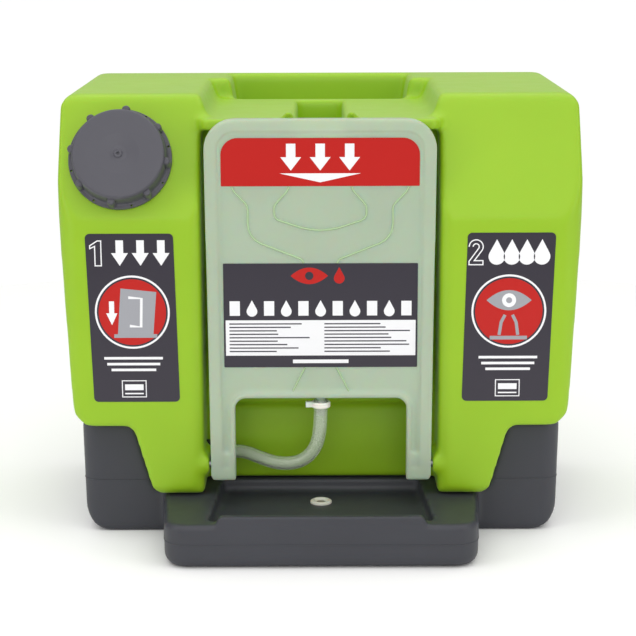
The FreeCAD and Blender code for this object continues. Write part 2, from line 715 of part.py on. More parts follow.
def label_step(direction):
    """Plate on a tower front, following the tower's taper."""
    inner_top, inner_low = MANIFOLD_HALF_TOP + 33, MANIFOLD_HALF_TOP + 29
    corners = [
        (direction * inner_low, SIDE_FLOOR + 29, 5),
        (direction * (inner_low + 92.5), SIDE_FLOOR + 29, 5),
        (direction * (inner_top + 93.5), BEND_HEIGHT - 16, 5),
        (direction * inner_top, BEND_HEIGHT - 16, 5),
    ]
    return slab(rounded_face(corners, "XZ"), -LABEL_THICKNESS, 0)


def label_pull():
    half = [
        (MANIFOLD_HALF_TOP - 18, HEAD_HEIGHT - 17, 1),
        (MANIFOLD_HALF_TOP - 18, HEAD_HEIGHT + 34, 18),
    ]
    return slab(rounded_face(mirrored(half), "XZ"), WEB_FRONT - LABEL_THICKNESS, WEB_FRONT)


def label_centre():
    half = [
        (MANIFOLD_HALF_TOP - 19, WINDOW_TOP + 34, 1),
        (MANIFOLD_HALF_TOP - 19, HEAD_HEIGHT - 100, 1),
    ]
    return slab(rounded_face(mirrored(half), "XZ"), WEB_FRONT - LABEL_THICKNESS, WEB_FRONT)


# ---- base ----

def base_block(inset):
    """The part of the base beside, under and behind the tank."""
    far = 2 * TANK_HALF_WIDTH
    top = SIDE_FLOOR - SEAT_GAP
    front = rounded_face(mirrored([(BASE_HALF_BOTTOM, 0, BASE_FOOT_RADIUS), (BASE_HALF_TOP, top, 5)]), "XZ")
    front = grown(front, -inset)
    front.translate(Vector(0, -far, 0))
    side = rounded_face([
        (BASE_FRONT, 0, 4),
        (BASE_BACK_BOTTOM, 0, 8),
        (BASE_BACK_TOP, top, 5),
        (BASE_FRONT, top, 5),
    ], "YZ")
    side = grown(side, -inset)
    side.translate(Vector(-far, 0, 0))
    plan = rounded_face([
        (-BASE_HALF_TOP, BASE_FRONT, 20),
        (BASE_HALF_TOP, BASE_FRONT, 20),
        (BASE_HALF_TOP, BASE_BACK_TOP, 24),
        (-BASE_HALF_TOP, BASE_BACK_TOP, 24),
    ], "XY")
    plan = grown(plan, -inset)
    block = front.extrude(Vector(0, 2 * far, 0)).common(side.extrude(Vector(2 * far, 0, 0)))
    return block.common(plan.extrude(Vector(0, 0, far)))


def cradle_tool(grow):
    """Room for the tank's lower body, open at the front and the top."""
    gap = SEAT_GAP + grow
    far = 2 * TANK_HALF_WIDTH
    front = tank_front_outline(-gap)
    front.translate(Vector(0, -far, 0))
    side = tank_side_outline(-gap)
    side.translate(Vector(-far, 0, 0))
    return front.extrude(Vector(0, 2 * far, 0)).common(side.extrude(Vector(2 * far, 0, 0)))


def tray_block(inset):
    """The front tray, running back under the tank, with its outer edges rounded."""
    rear = BASE_FRONT + 60
    plan = rounded_face([
        (-TRAY_HALF_FRONT, -TRAY_REACH, TRAY_CORNER_RADIUS),
        (TRAY_HALF_FRONT, -TRAY_REACH, TRAY_CORNER_RADIUS),
        (TRAY_HALF_REAR, rear, 0),
        (-TRAY_HALF_REAR, rear, 0),
    ], "XY")
    plan = grown(plan, -inset)
    plan.translate(Vector(0, 0, inset))
    block = plan.extrude(Vector(0, 0, TRAY_TOP - 2 * inset))
    for level, radius in ((inset, TRAY_FOOT_RADIUS - inset), (TRAY_TOP - inset, TRAY_EDGE_RADIUS - inset)):
        edges = [e for e in block.Edges if e.BoundBox.ZLength < 0.01 and abs(e.BoundBox.ZMax - level) < 0.01
                 and e.BoundBox.YMin < rear - inset - 1]
        block = block.makeFillet(radius, edges)
    return block


def well_tool(grow):
    """The basin that catches the water in front of and between the towers."""
    corners = [
        (-WELL_HALF_FRONT, WELL_FRONT, 8),
        (WELL_HALF_FRONT, WELL_FRONT, 8),
        (WELL_HALF_REAR, WELL_BACK, 8),
        (-WELL_HALF_REAR, WELL_BACK, 8),
    ]
    face = grown(rounded_face(corners, "XY"), grow)
    face.translate(Vector(0, 0, WELL_FLOOR - grow))
    return face.extrude(Vector(0, 0, LIP_TOP - WELL_FLOOR + grow + 2))


def front_lip():
    """Raised wall along the tray's front edge."""
    half = [(LIP_HALF, TRAY_TOP - 4, 0), (LIP_HALF, LIP_TOP, 3)]
    return slab(rounded_face(mirrored(half), "XZ"), 1.5 - TRAY_REACH, 1.5 - TRAY_REACH + LIP_THICKNESS)


def bung_point(reach):
    """A point on the bung's axis, measured back from its seat on the base's rear wall."""
    return Vector(0, BASE_BACK_BOTTOM + 6 + reach, BUNG_HEIGHT)


def waste_base():
    """Hollow base: the tank stands in it and it stores the used water."""
    outside = base_block(0).cut(cradle_tool(0)).fuse(tray_block(0))
    outside = outside.fuse(front_lip()).cut(well_tool(0))
    outside = outside.fuse(rod(BUNG_RADIUS + 6, bung_point(-12), bung_point(0)))
    hollow = base_block(BASE_WALL).cut(cradle_tool(BASE_WALL)).fuse(tray_block(BASE_WALL))
    hollow = hollow.cut(well_tool(BASE_WALL)).cut(rod(BUNG_RADIUS + 6, bung_point(-12), bung_point(0)))
    shell = outside.cut(hollow)
    shell = shell.cut(rod(BUNG_RADIUS, bung_point(-13), bung_point(1)))
    drain = Vector(0, DRAIN_Y, WELL_FLOOR)
    return one_solid(shell.cut(rod(DRAIN_RADIUS, drain - Vector(0, 0, 10), drain + Vector(0, 0, 1))))


def drain_grommet():
    """Soft ring pressed into the hole in the basin's floor."""
    drain = Vector(0, DRAIN_Y, WELL_FLOOR)
    flange = Part.makeCone(DRAIN_RADIUS + 5.5, DRAIN_RADIUS + 4, 3, drain)
    ring = flange.fuse(rod(DRAIN_RADIUS, drain - Vector(0, 0, BASE_WALL + 3), drain + Vector(0, 0, 1)))
    under = drain - Vector(0, 0, BASE_WALL)
    ring = ring.fuse(rod(DRAIN_RADIUS + 2, under - Vector(0, 0, 2), under))
    ring = ring.cut(rod(DRAIN_RADIUS - 1.5, drain - Vector(0, 0, 20), drain + Vector(0, 0, 5)))
    mouth = Part.makeCone(DRAIN_RADIUS - 1.5, DRAIN_RADIUS + 0.5, 2, drain + Vector(0, 0, 1.2))
    return one_solid(ring.cut(mouth))


def waste_bung():
    """Plug in the base's rear wall, pulled straight out to empty the used water."""
    plug = rod(BUNG_RADIUS - SLIP_GAP, bung_point(-10), bung_point(1))
    plug = plug.fuse(rod(BUNG_RADIUS + 5, bung_point(SLIP_GAP), bung_point(5)))
    grip = box(-3, 3, bung_point(4).y, bung_point(14).y, BUNG_HEIGHT - 13, BUNG_HEIGHT + 13)
    plug = plug.fuse(grip)
    return one_solid(plug.cut(rod(BUNG_RADIUS - 4, bung_point(-11), bung_point(-2))))


def export(name, shape, folder="parts"):
    """Checks a piece, moves it to the station's own origin and writes it."""
    piece = shape.copy()
    piece.translate(Vector(0, -CENTRE_Y, 0))
    solids = piece.Solids
    whole = solids[0] if len(solids) == 1 else Part.makeCompound(solids)
    print(name, len(solids), "solid, valid", whole.isValid(), round(whole.Volume / 1000, 1), "cm3")
    whole.exportStep(os.path.join(folder, name + ".step"))


if __name__ == "__main__":
    os.makedirs("parts", exist_ok=True)
    export("tank", tank())
    export("pivot_pin_left", pivot_pin(-1))
    export("pivot_pin_right", pivot_pin(1))
    export("cap_seal", cap_seal())
    export("fill_cap", fill_cap())
    export("outlet_fitting", outlet_fitting())
    export("outlet_seal", outlet_seal())
    export("outlet_nut", outlet_nut())
    export("hose", hose())
    export("hose_clamp_outlet", hose_clamp_outlet())
    export("hose_clamp_manifold", hose_clamp_manifold())
    export("manifold", manifold())
    for side, direction in (("left", -1), ("right", 1)):
        export("spray_seal_" + side, spray_seal(direction))
        export("spray_head_" + side, spray_head(direction))
        export("flow_disc_" + side, flow_disc(direction))
    export("label_step_one", label_step(-1))
    export("label_step_two", label_step(1))
    export("label_pull", label_pull())
    export("label_centre", label_centre())
    export("waste_base", waste_base())
    export("drain_grommet", drain_grommet())
    export("waste_bung", waste_bung())
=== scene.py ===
import bpy, bmesh, json, math
from mathutils import Matrix, Vector


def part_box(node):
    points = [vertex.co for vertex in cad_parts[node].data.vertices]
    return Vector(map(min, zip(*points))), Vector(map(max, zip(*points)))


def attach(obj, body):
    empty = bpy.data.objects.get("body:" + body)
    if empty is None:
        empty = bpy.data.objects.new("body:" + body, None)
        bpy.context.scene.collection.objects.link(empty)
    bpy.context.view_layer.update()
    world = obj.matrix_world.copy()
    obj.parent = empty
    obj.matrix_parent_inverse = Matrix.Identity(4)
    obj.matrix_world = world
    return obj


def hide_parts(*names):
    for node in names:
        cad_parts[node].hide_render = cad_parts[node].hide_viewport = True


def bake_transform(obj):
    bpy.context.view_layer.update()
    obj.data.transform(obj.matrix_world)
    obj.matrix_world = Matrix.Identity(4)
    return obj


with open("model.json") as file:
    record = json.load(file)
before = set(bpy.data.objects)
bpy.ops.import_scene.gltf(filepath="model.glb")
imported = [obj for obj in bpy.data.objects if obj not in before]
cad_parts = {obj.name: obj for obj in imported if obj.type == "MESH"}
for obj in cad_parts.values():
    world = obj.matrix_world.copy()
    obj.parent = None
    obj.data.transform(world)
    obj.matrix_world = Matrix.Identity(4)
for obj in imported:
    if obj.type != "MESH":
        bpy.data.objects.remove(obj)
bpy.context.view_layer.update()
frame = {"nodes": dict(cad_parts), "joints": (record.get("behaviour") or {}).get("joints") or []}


# ---- studio ----
# A round white table stands in an even white room, under one large overhead softbox, two tall side
# banks and a front fill. The camera looks from a little above, square to the front.

def linear(code):
    """An sRGB hex colour as linear RGBA."""
    parts = [int(code[i:i + 2], 16) / 255 for i in (0, 2, 4)]
    return [c / 12.92 if c <= 0.04045 else ((c + 0.055) / 1.055) ** 2.4 for c in parts] + [1.0]


def new_material(name, colour, roughness, **sockets):
    """A material whose Principled shader has these constant settings."""
    material = bpy.data.materials.new(name)
    material.use_nodes = True
    shader = material.node_tree.nodes["Principled BSDF"]
    shader.inputs["Base Color"].default_value = linear(colour)
    shader.inputs["Roughness"].default_value = roughness
    for socket, value in sockets.items():
        shader.inputs[socket.replace("_", " ")].default_value = value
    return material


def add_node(tree, kind, settings=None, links=None):
    """A node with plain values set by input name and other sockets linked into it."""
    node = tree.nodes.new(kind)
    for key, value in (settings or {}).items():
        if key in node.inputs:
            node.inputs[key].default_value = value
        else:
            setattr(node, key, value)
    for key, source in (links or {}).items():
        tree.links.new(source, node.inputs[key])
    return node


def mesh_piece(name, mesh_data, *materials):
    """A finished object at the origin that shows this mesh."""
    piece = bpy.data.objects.new(name, mesh_data)
    bpy.context.scene.collection.objects.link(piece)
    for material in materials:
        piece.data.materials.append(material)
    return piece


def evaluated_mesh(holder):
    """The mesh that an object shows, with its modifiers applied."""
    shown = holder.evaluated_get(bpy.context.evaluated_depsgraph_get())
    return bpy.data.meshes.new_from_object(shown)


def smooth_piece(name, work):
    """A smooth-shaded object from a finished bmesh."""
    data = bpy.data.meshes.new(name)
    work.to_mesh(data)
    data.shade_smooth()
    return mesh_piece(name, data)


def refinish(node, finish):
    """A CAD solid shown as it is, in one material."""
    solid = frame["nodes"][node]
    solid.data.materials.clear()
    solid.data.materials.append(finish)


table_radius = 1.4
card = new_material("table_white_card", "fcfcfb", 0.9)
table_top = bmesh.new()
bmesh.ops.create_circle(table_top, cap_ends=True, segments=96, radius=table_radius)
table_mesh = bpy.data.meshes.new("table")
table_top.to_mesh(table_mesh)
table = mesh_piece("table", table_mesh, card)


def softbox(name, place, target, width, height, watts):
    """A rectangular bank of light at a place, facing a target."""
    light = bpy.data.lights.new(name, "AREA")
    light.shape = "RECTANGLE"
    light.size, light.size_y, light.energy = width, height, watts
    holder = bpy.data.objects.new(name, light)
    bpy.context.scene.collection.objects.link(holder)
    facing = (Vector(target) - Vector(place)).to_track_quat("-Z", "Y")
    holder.matrix_world = Matrix.Translation(place) @ facing.to_matrix().to_4x4()
    return holder


softbox("overhead_softbox", (0.0, 0.0, 3.0), (0, 0, 0), 5.0, 5.0, 102)
softbox("left_bank", (-1.9, -1.1, 0.9), (0, 0, 0.25), 0.9, 1.8, 10)
softbox("right_bank", (1.9, -1.1, 0.9), (0, 0, 0.25), 0.9, 1.8, 10)
softbox("front_fill", (0.0, -2.9, 1.5), (0, 0, 0.2), 2.4, 1.8, 24)

room = bpy.data.worlds.new("room")
room.use_nodes = True
walls = room.node_tree.nodes["Background"]
walls.inputs["Color"].default_value = linear("fbfbfa")
seen_directly = add_node(room.node_tree, "ShaderNodeLightPath").outputs["Is Camera Ray"]
light_given, light_seen = 0.45, 1.05
brightness = add_node(room.node_tree, "ShaderNodeMapRange",
                      {"To Min": light_given, "To Max": light_seen}, {"Value": seen_directly})
room.node_tree.links.new(brightness.outputs["Result"], walls.inputs["Strength"])
bpy.context.scene.world = room
bpy.context.scene.view_settings.view_transform = "Standard"

camera_place = (-0.0028, -1.9582, 0.6575)
degrees_down, roll = 12.6, -0.003
lens = bpy.data.cameras.new("camera")
lens.lens = 99.4
lens.sensor_width = 36.0
camera = bpy.data.objects.new("camera", lens)
bpy.context.scene.collection.objects.link(camera)
camera.matrix_world = (
    Matrix.Translation(camera_place)
    @ Matrix.Rotation(math.radians(90 - degrees_down), 4, "X")
    @ Matrix.Rotation(roll, 4, "Z")
)
bpy.context.scene.camera = camera


# ---- tank ----
# A one-piece blow moulding in lime-green high-density polyethylene. Blow moulding leaves soft
# edges everywhere, a waxy satin skin from the sand-blasted mould, and slight waves in wide walls.

def waxy_polyethylene(name, colour, deep_colour, roughness, grain_mm, **sockets):
    """Moulded polyethylene: faint cloudy colour, uneven gloss, a blasted-mould grain and slow waves."""
    settings = {"IOR": 1.5, "Subsurface_Weight": 0.06, "Subsurface_Scale": 0.004,
                "Specular_IOR_Level": 0.42, **sockets}
    material = new_material(name, colour, roughness, **settings)
    tree = material.node_tree
    shader = tree.nodes["Principled BSDF"]
    place = add_node(tree, "ShaderNodeTexCoord").outputs["Object"]
    cloud = add_node(tree, "ShaderNodeTexNoise", {"Scale": 9.0, "Detail": 4.0, "Roughness": 0.55},
                     {"Vector": place})
    tint = add_node(tree, "ShaderNodeMix", {"data_type": "RGBA"})
    for socket in tint.inputs:
        if socket.type == "RGBA" and socket.name in ("A", "B"):
            socket.default_value = linear(colour if socket.name == "A" else deep_colour)
    tree.links.new(cloud.outputs["Fac"], tint.inputs["Factor"])
    tree.links.new(next(s for s in tint.outputs if s.type == "RGBA"), shader.inputs["Base Color"])
    gloss = add_node(tree, "ShaderNodeTexNoise", {"Scale": 42.0, "Detail": 3.0}, {"Vector": place})
    spread = add_node(tree, "ShaderNodeMapRange", {"To Min": roughness - 0.05, "To Max": roughness + 0.07},
                      {"Value": gloss.outputs["Fac"]})
    tree.links.new(spread.outputs["Result"], shader.inputs["Roughness"])
    grain = add_node(tree, "ShaderNodeTexNoise", {"Scale": 1000 / grain_mm, "Detail": 2.0},
                     {"Vector": place})
    waves = add_node(tree, "ShaderNodeTexNoise", {"Scale": 11.0, "Detail": 1.0}, {"Vector": place})
    blasted = add_node(tree, "ShaderNodeBump", {"Strength": 0.12, "Distance": 0.0003},
                       {"Height": grain.outputs["Fac"]})
    wavy = add_node(tree, "ShaderNodeBump", {"Strength": 0.25, "Distance": 0.0025},
                    {"Height": waves.outputs["Fac"], "Normal": blasted.outputs["Normal"]})
    tree.links.new(wavy.outputs["Normal"], shader.inputs["Normal"])
    return material


def outer_skin(node, name, drop_face, cell, rounds):
    """The outside of a hollow CAD moulding as one closed, evenly meshed skin with softened edges."""
    work = bmesh.new()
    work.from_mesh(frame["nodes"][node].data)
    bmesh.ops.remove_doubles(work, verts=work.verts, dist=2e-6)
    doomed = [f for f in work.faces if drop_face(f.calc_center_median())]
    bmesh.ops.delete(work, geom=doomed, context="FACES")
    front = min(work.verts, key=lambda v: v.co.y)
    reached, edge_of_search = {front}, [front]
    while edge_of_search:
        here = edge_of_search.pop()
        for edge in here.link_edges:
            there = edge.other_vert(here)
            if there not in reached:
                reached.add(there)
                edge_of_search.append(there)
    bmesh.ops.delete(work, geom=[v for v in work.verts if v not in reached], context="VERTS")
    bmesh.ops.holes_fill(work, edges=[e for e in work.edges if e.is_boundary], sides=0)
    bmesh.ops.triangulate(work, faces=work.faces)
    skin = bpy.data.meshes.new(name)
    work.to_mesh(skin)
    piece = mesh_piece(name, skin)
    remesh = piece.modifiers.new("even_mesh", "REMESH")
    remesh.mode, remesh.voxel_size, remesh.use_smooth_shade = "VOXEL", cell, True
    soften = piece.modifiers.new("soft_edges", "SMOOTH")
    soften.factor, soften.iterations = 0.5, rounds
    finished = evaluated_mesh(piece)
    piece.modifiers.clear()
    piece.data = finished
    piece.data.shade_smooth()
    return piece


cap_turn = next(j for j in frame["joints"] if j["name"] == "cap_turn")
neck_foot = Vector(cap_turn["pos_m"])
neck_axis = Vector(cap_turn["axis"]).normalized()
outlet_low, outlet_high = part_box("outlet_seal")
outlet_middle = (Vector(outlet_low) + Vector(outlet_high)) / 2
neck_bore, neck_bore_start, neck_bore_end = 0.0445, -0.022, 0.0185
outlet_hole, outlet_hole_half = 0.0092, 0.0085


def in_tank_hole(point):
    """True for faces of the neck's bore and of the outlet's hole, which lead into the tank's cavity."""
    along = (point - neck_foot).dot(neck_axis)
    across = (point - neck_foot - neck_axis * along).length
    in_neck = across < neck_bore and neck_bore_start < along < neck_bore_end
    from_outlet = point - outlet_middle
    from_axis = math.hypot(from_outlet.y, from_outlet.z)
    in_outlet = from_axis < outlet_hole and abs(from_outlet.x) < outlet_hole_half
    return in_neck or in_outlet


lime = waxy_polyethylene("hdpe_lime_blow_moulded", "95be1a", "8bb613", 0.42, 0.9,
                         Subsurface_Weight=0.14, Sheen_Weight=0.12, Sheen_Roughness=0.35)
tank_skin = outer_skin("tank", "tank_skin", in_tank_hole, 0.0036, 8)
tank_skin.data.materials.append(lime)
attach(tank_skin, "tank")
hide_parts("tank")


# ---- waste base ----
# The hollow foot that the tank stands in, blow moulded in charcoal polyethylene, with a low tray
# and basin in front. It takes more scuffs than the tank and its grain is a little coarser.

drain_low, drain_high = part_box("drain_grommet")
drain_middle = (Vector(drain_low) + Vector(drain_high)) / 2
bung_low, bung_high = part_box("waste_bung")
bung_middle = (Vector(bung_low) + Vector(bung_high)) / 2
drain_hole, bung_bore = 0.0068, 0.0163


def in_base_hole(point):
    """True for faces of the drain hole and the bung's bore, which lead into the base's cavity."""
    from_drain = point - drain_middle
    in_drain = math.hypot(from_drain.x, from_drain.y) < drain_hole
    from_bung = point - bung_middle
    return in_drain or math.hypot(from_bung.x, from_bung.z) < bung_bore


charcoal = waxy_polyethylene("hdpe_charcoal_blow_moulded", "3a3b42", "323339", 0.44, 1.1)
base_skin = outer_skin("waste_base", "base_skin", in_base_hole, 0.003, 6)
base_skin.data.materials.append(charcoal)
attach(base_skin, "base")
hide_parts("waste_base")


# ---- hose ----
# A short length of clear, slightly milky PVC tubing from the tank's outlet, behind the left leg, to
# the nipple under the manifold. It hangs in one soft bend.

window_top = 0.158
nipple_end = 0.136
nipple_y = -0.1125
outlet_reach = outlet_high[0] - 0.0025
outlet_y, outlet_z = outlet_middle.y, outlet_middle.z
hose_route = [
    (outlet_reach + 0.012, outlet_y, outlet_z),
    (outlet_reach + 0.040, outlet_y, outlet_z),
    (-0.068, nipple_y + 0.0245, outlet_z - 0.006),
    (-0.046, nipple_y + 0.016, outlet_z - 0.011),
    (-0.022, nipple_y + 0.008, outlet_z - 0.0065),
    (-0.006, nipple_y + 0.002, outlet_z + 0.010),
    (0.0, nipple_y, nipple_end - 0.014),
    (0.0, nipple_y, window_top - 0.004),
]
hose_line = bpy.data.curves.new("hose_line", "CURVE")
hose_line.dimensions = "3D"
hose_spline = hose_line.splines.new("NURBS")
hose_spline.points.add(len(hose_route) - 1)
for point, place in zip(hose_spline.points, hose_route):
    point.co = (*place, 1.0)
hose_spline.order_u = 3
hose_spline.use_endpoint_u = True
hose_spline.resolution_u = 12
line_holder = bpy.data.objects.new("hose_line", hose_line)
bpy.context.scene.collection.objects.link(line_holder)
hose_path = [Vector(v.co) for v in evaluated_mesh(line_holder).vertices]
bpy.data.objects.remove(line_holder)


def hollow_tube(name, path, outer, inner, around):
    """A tube with a wall, following a path, closed at both ends."""
    tube = bmesh.new()
    heading = (path[1] - path[0]).normalized()
    side = heading.orthogonal().normalized()
    rings = []
    for index, place in enumerate(path):
        before, after = path[max(index - 1, 0)], path[min(index + 1, len(path) - 1)]
        heading = (after - before).normalized()
        side = (side - heading * side.dot(heading)).normalized()
        other = heading.cross(side)
        turns = [2 * math.pi * k / around for k in range(around)]
        spokes = [side * math.cos(t) + other * math.sin(t) for t in turns]
        rings.append([[tube.verts.new(place + spoke * radius) for spoke in spokes]
                      for radius in (outer, inner)])
    for (out_a, in_a), (out_b, in_b) in zip(rings, rings[1:]):
        for k in range(around):
            n = (k + 1) % around
            tube.faces.new((out_a[k], out_a[n], out_b[n], out_b[k]))
            tube.faces.new((in_a[n], in_a[k], in_b[k], in_b[n]))
    for out_end, in_end in (rings[0], rings[-1]):
        for k in range(around):
            n = (k + 1) % around
            tube.faces.new((out_end[k], in_end[k], in_end[n], out_end[n]))
    bmesh.ops.recalc_face_normals(tube, faces=tube.faces)
    return smooth_piece(name, tube)


clear_pvc = new_material("pvc_clear_tubing", "f1f8eb", 0.12, IOR=1.36, Transmission_Weight=0.78,
                         Coat_Weight=0.3, Coat_Roughness=0.08)
hose_outside, hose_bore = 0.0075, 0.005
hose = hollow_tube("hose_tube", hose_path, hose_outside, hose_bore, 28)
hose.data.materials.append(clear_pvc)
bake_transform(hose)
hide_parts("hose")


# ---- hose clamps ----
# Natural nylon ratchet clamps, injection moulded, squeezed over the hose at each end. The one under
# the manifold shows its toothed tab on the left.

def round_corners(points, steps=5):
    """An outline from (u, v, radius) corners in millimetres, each corner eased over its radius."""
    outline = []
    for index, (u, v, radius) in enumerate(points):
        here = Vector((u, v))
        before = Vector(points[index - 1][:2])
        after = Vector(points[(index + 1) % len(points)][:2])
        if radius <= 0:
            outline.append(here)
            continue
        inward, outward = (before - here).normalized(), (after - here).normalized()
        half = inward.angle(outward) / 2
        shorter = min((before - here).length, (after - here).length)
        reach = min(radius / math.tan(half), shorter * 0.49)
        start, end = here + inward * reach, here + outward * reach
        for step in range(steps + 1):
            share = step / steps
            outline.append(start * (1 - share) ** 2 + here * 2 * share * (1 - share)
                           + end * share ** 2)
    return outline


def turned(name, profile, around, place):
    """A closed solid of revolution about local Z from a (radius, height) outline in millimetres."""
    work = bmesh.new()
    outline = round_corners(profile, 4)
    rings = []
    for radius, height in outline:
        if radius < 1e-6:
            rings.append([work.verts.new((0, 0, height / 1000))])
            continue
        ring = []
        for k in range(around):
            turn = 2 * math.pi * k / around
            ring.append(work.verts.new((radius * math.cos(turn) / 1000,
                                        radius * math.sin(turn) / 1000, height / 1000)))
        rings.append(ring)
    for lower, upper in zip(rings, rings[1:] + rings[:1]):
        if len(lower) == 1 and len(upper) == 1:
            continue
        for k in range(around):
            n = (k + 1) % around
            if len(lower) == 1:
                work.faces.new((lower[0], upper[k], upper[n]))
            elif len(upper) == 1:
                work.faces.new((lower[k], upper[0], lower[n]))
            else:
                work.faces.new((lower[k], upper[k], upper[n], lower[n]))
    bmesh.ops.recalc_face_normals(work, faces=work.faces)
    work.transform(place)
    return smooth_piece(name, work)


def rounded_bar(name, low, high, radius):
    """A bar between two corners, in metres, with rounded edges."""
    work = bmesh.new()
    bmesh.ops.create_cube(work, size=1.0)
    size = Vector(high) - Vector(low)
    middle = Matrix.Translation((Vector(high) + Vector(low)) / 2)
    work.transform(middle @ Matrix.Diagonal((*size, 1.0)))
    bmesh.ops.bevel(work, geom=work.edges[:], offset=radius, segments=3, profile=0.5, affect="EDGES")
    return smooth_piece(name, work)


def joined(name, *pieces):
    """One object from several, with their materials."""
    work = bmesh.new()
    materials = []
    for piece in pieces:
        shift = len(materials)
        materials.extend(piece.data.materials)
        part = piece.data.copy()
        for face in part.polygons:
            face.material_index += shift
        work.from_mesh(part)
        bpy.data.objects.remove(piece)
    data = bpy.data.meshes.new(name)
    work.to_mesh(data)
    result = mesh_piece(name, data)
    for material in materials:
        result.data.materials.append(material)
    return result


nylon = new_material("nylon_natural", "eceadf", 0.32, IOR=1.53, Subsurface_Weight=0.3,
                     Subsurface_Scale=0.003)
clamp_profile = [(7.8, -3, 0.4), (10.2, -3, 0.6), (10.6, -1, 0.3), (9.9, 0, 0.3), (10.6, 1, 0.3),
                 (10.2, 3, 0.6), (7.8, 3, 0.4)]
teeth, steps_along_tab = 4, 4.6


def hose_clamp(name, middle, facing, tab_low, tab_high, teeth_along, body):
    """A ribbed ring with a toothed tab beside it, its teeth counted along one direction."""
    ring = turned(name + "_ring", clamp_profile, 48, Matrix.Translation(middle) @ facing)
    tab = rounded_bar(name + "_tab", tab_low, tab_high, 0.0006)
    pieces = [ring, tab]
    for index in range(teeth):
        tooth_low, tooth_high = Vector(tab_low), Vector(tab_high)
        span = (tooth_high - tooth_low) * teeth_along
        step = teeth_along * (span.length / steps_along_tab)
        tooth_low += step * (index + 0.25)
        tooth_high = tooth_low + (Vector(tab_high) - Vector(tab_low)) - span + step * 0.5
        grow = Vector((0.0004, 0.0004, 0.0004))
        pieces.append(rounded_bar(f"{name}_tooth_{index}", tooth_low - grow, tooth_high + grow,
                                  0.0002))
    clamp = joined(name + "_whole", *pieces)
    clamp.data.materials.clear()
    clamp.data.materials.append(nylon)
    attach(clamp, body)
    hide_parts(name)
    return clamp


under_manifold = Vector((0.0, nipple_y, window_top - 0.009))
hose_clamp("hose_clamp_manifold", under_manifold, Matrix.Identity(4),
           under_manifold + Vector((-0.0164, -0.003, -0.0025)),
           under_manifold + Vector((-0.0088, 0.003, 0.0025)),
           Vector((1, 0, 0)), "manifold")
at_outlet = Vector((outlet_reach + 0.017, outlet_y, outlet_z))
hose_clamp("hose_clamp_outlet", at_outlet, Matrix.Rotation(math.pi / 2, 4, "Y"),
           at_outlet + Vector((-0.003, -0.003, 0.0088)), at_outlet + Vector((0.003, 0.003, 0.0146)),
           Vector((0, 0, 1)), "tank")


# ---- drain grommet and waste bung ----
# The grommet is a ring of soft off-white rubber pushed into the basin's drain hole. The bung is a
# black rubber plug with a finger bar, pushed into the base's rear wall.

grommet_rubber = new_material("rubber_off_white", "c9c8ba", 0.55, Subsurface_Weight=0.15,
                              Subsurface_Scale=0.002)
grommet_seat = Vector((drain_middle.x, drain_middle.y, drain_high[2] - 0.003))
grommet = turned("grommet_ring", [
    (12, 0.05, 0.2), (11.7, 1.9, 0.9), (9.8, 3.0, 0.9), (8.2, 2.9, 0.6), (6.6, 1.3, 0.8),
    (5.0, 0.9, 0.4), (5.0, -8.4, 0.3), (8.4, -8.4, 0.4), (8.4, -6.6, 0.4), (6.5, -3.5, 0.2),
    (6.5, 0.05, 0.1),
], 64, Matrix.Translation(grommet_seat))
grommet.data.materials.append(grommet_rubber)
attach(grommet, "base")
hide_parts("drain_grommet")

stained_rubber = new_material("rubber_stained_membrane", "7d786a", 0.6)
membrane = turned("drain_membrane", [
    (0, 0.35, 0), (1.2, 0.3, 0.2), (5.0, 0.8, 0.2), (5.0, -0.2, 0.2), (0, -0.6, 0),
], 32, Matrix.Translation(grommet_seat))
membrane.data.materials.append(stained_rubber)
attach(membrane, "base")

black_rubber = new_material("rubber_black_moulded", "262627", 0.62)
bung_seat = Vector((bung_middle.x, bung_low[1] + 0.01, bung_middle.z))
bung_body = turned("bung_body", [
    (0, -1, 0), (11.8, -1.9, 0.5), (12, -10, 0.4), (15.2, -10, 1.2), (15.7, 0.2, 0.3),
    (20.8, 0.4, 0.8), (20.6, 4.8, 1.4), (0, 5, 0),
], 64, Matrix.Translation(bung_seat) @ Matrix.Rotation(-math.pi / 2, 4, "X"))
bung_grip = rounded_bar("bung_grip", bung_seat + Vector((-0.003, 0.004, -0.013)),
                        bung_seat + Vector((0.003, 0.014, 0.013)), 0.0014)
bung = joined("whole_bung", bung_body, bung_grip)
bung.data.materials.append(black_rubber)
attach(bung, "bung")
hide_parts("waste_bung")


# ---- fill neck, gasket and cap ----
# The neck is part of the tank moulding, with a coarse thread. The cap is injection moulded in dark
# grey polypropylene: a smooth, slightly dished face, eight grip posts that stand on a thin flange,
# and small tie holes between them. A soft gasket seals it.

neck_tilt = Vector((0, 0, 1)).rotation_difference(neck_axis).to_matrix().to_4x4()
cap_place = Matrix.Translation(neck_foot) @ neck_tilt


def geometry_tree(name, inputs):
    """An empty Geometry Nodes tree with these named inputs and one geometry output."""
    tree = bpy.data.node_groups.new(name, "GeometryNodeTree")
    tree.interface.new_socket("Geometry", in_out="OUTPUT", socket_type="NodeSocketGeometry")
    for label, kind in inputs.items():
        tree.interface.new_socket(label, in_out="INPUT", socket_type=kind)
    entry = tree.nodes.new("NodeGroupInput")
    leave = tree.nodes.new("NodeGroupOutput")
    return tree, entry.outputs, leave.inputs["Geometry"]


def close_tree(tree, geometry, material, result):
    """The tree's end: its instances made real, in one material, out through the result."""
    made = add_node(tree, "GeometryNodeRealizeInstances", None, {"Geometry": geometry})
    faced = add_node(tree, "GeometryNodeSetMaterial", None,
                     {"Geometry": made.outputs["Geometry"], "Material": material})
    tree.links.new(faced.outputs["Geometry"], result)


